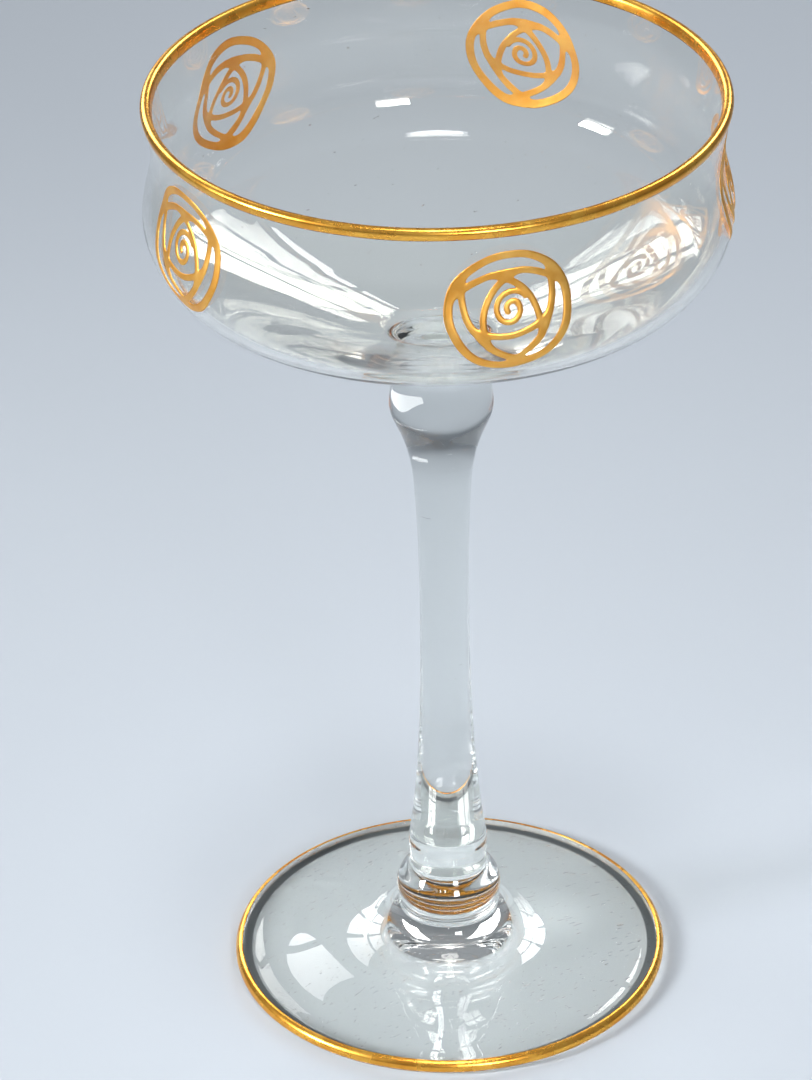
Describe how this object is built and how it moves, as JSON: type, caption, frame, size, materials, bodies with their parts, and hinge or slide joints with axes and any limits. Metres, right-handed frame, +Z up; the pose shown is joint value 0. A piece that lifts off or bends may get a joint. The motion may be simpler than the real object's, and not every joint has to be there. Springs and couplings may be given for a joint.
{
  "type": "champagne coupe",
  "caption": "Stemmed saucer champagne glass with a shallow waisted bowl, knopped stem, disc foot, gilt lip, gilt foot edge and gilt rose roundels.",
  "frame": {"origin": "centre of the ring that the foot stands on, on the glass's axis", "axes": "+Z up along the glass's axis, -Y towards the front, +X to the right seen from the front"},
  "size_m": [0.0915, 0.0915, 0.16],
  "materials": {
    "clear_glass": "clear, fire polished, faintly warm tint",
    "gilding": "burnished gold, slightly worn"
  },
  "bodies": {
    "root": {"bowl": "clear_glass", "stem": "clear_glass", "foot": "clear_glass", "rim_gilding": "gilding", "foot_gilding": "gilding", "rose_roundel_1": "gilding", "rose_roundel_2": "gilding", "rose_roundel_3": "gilding", "rose_roundel_4": "gilding", "rose_roundel_5": "gilding"}
  },
  "joints": []
}
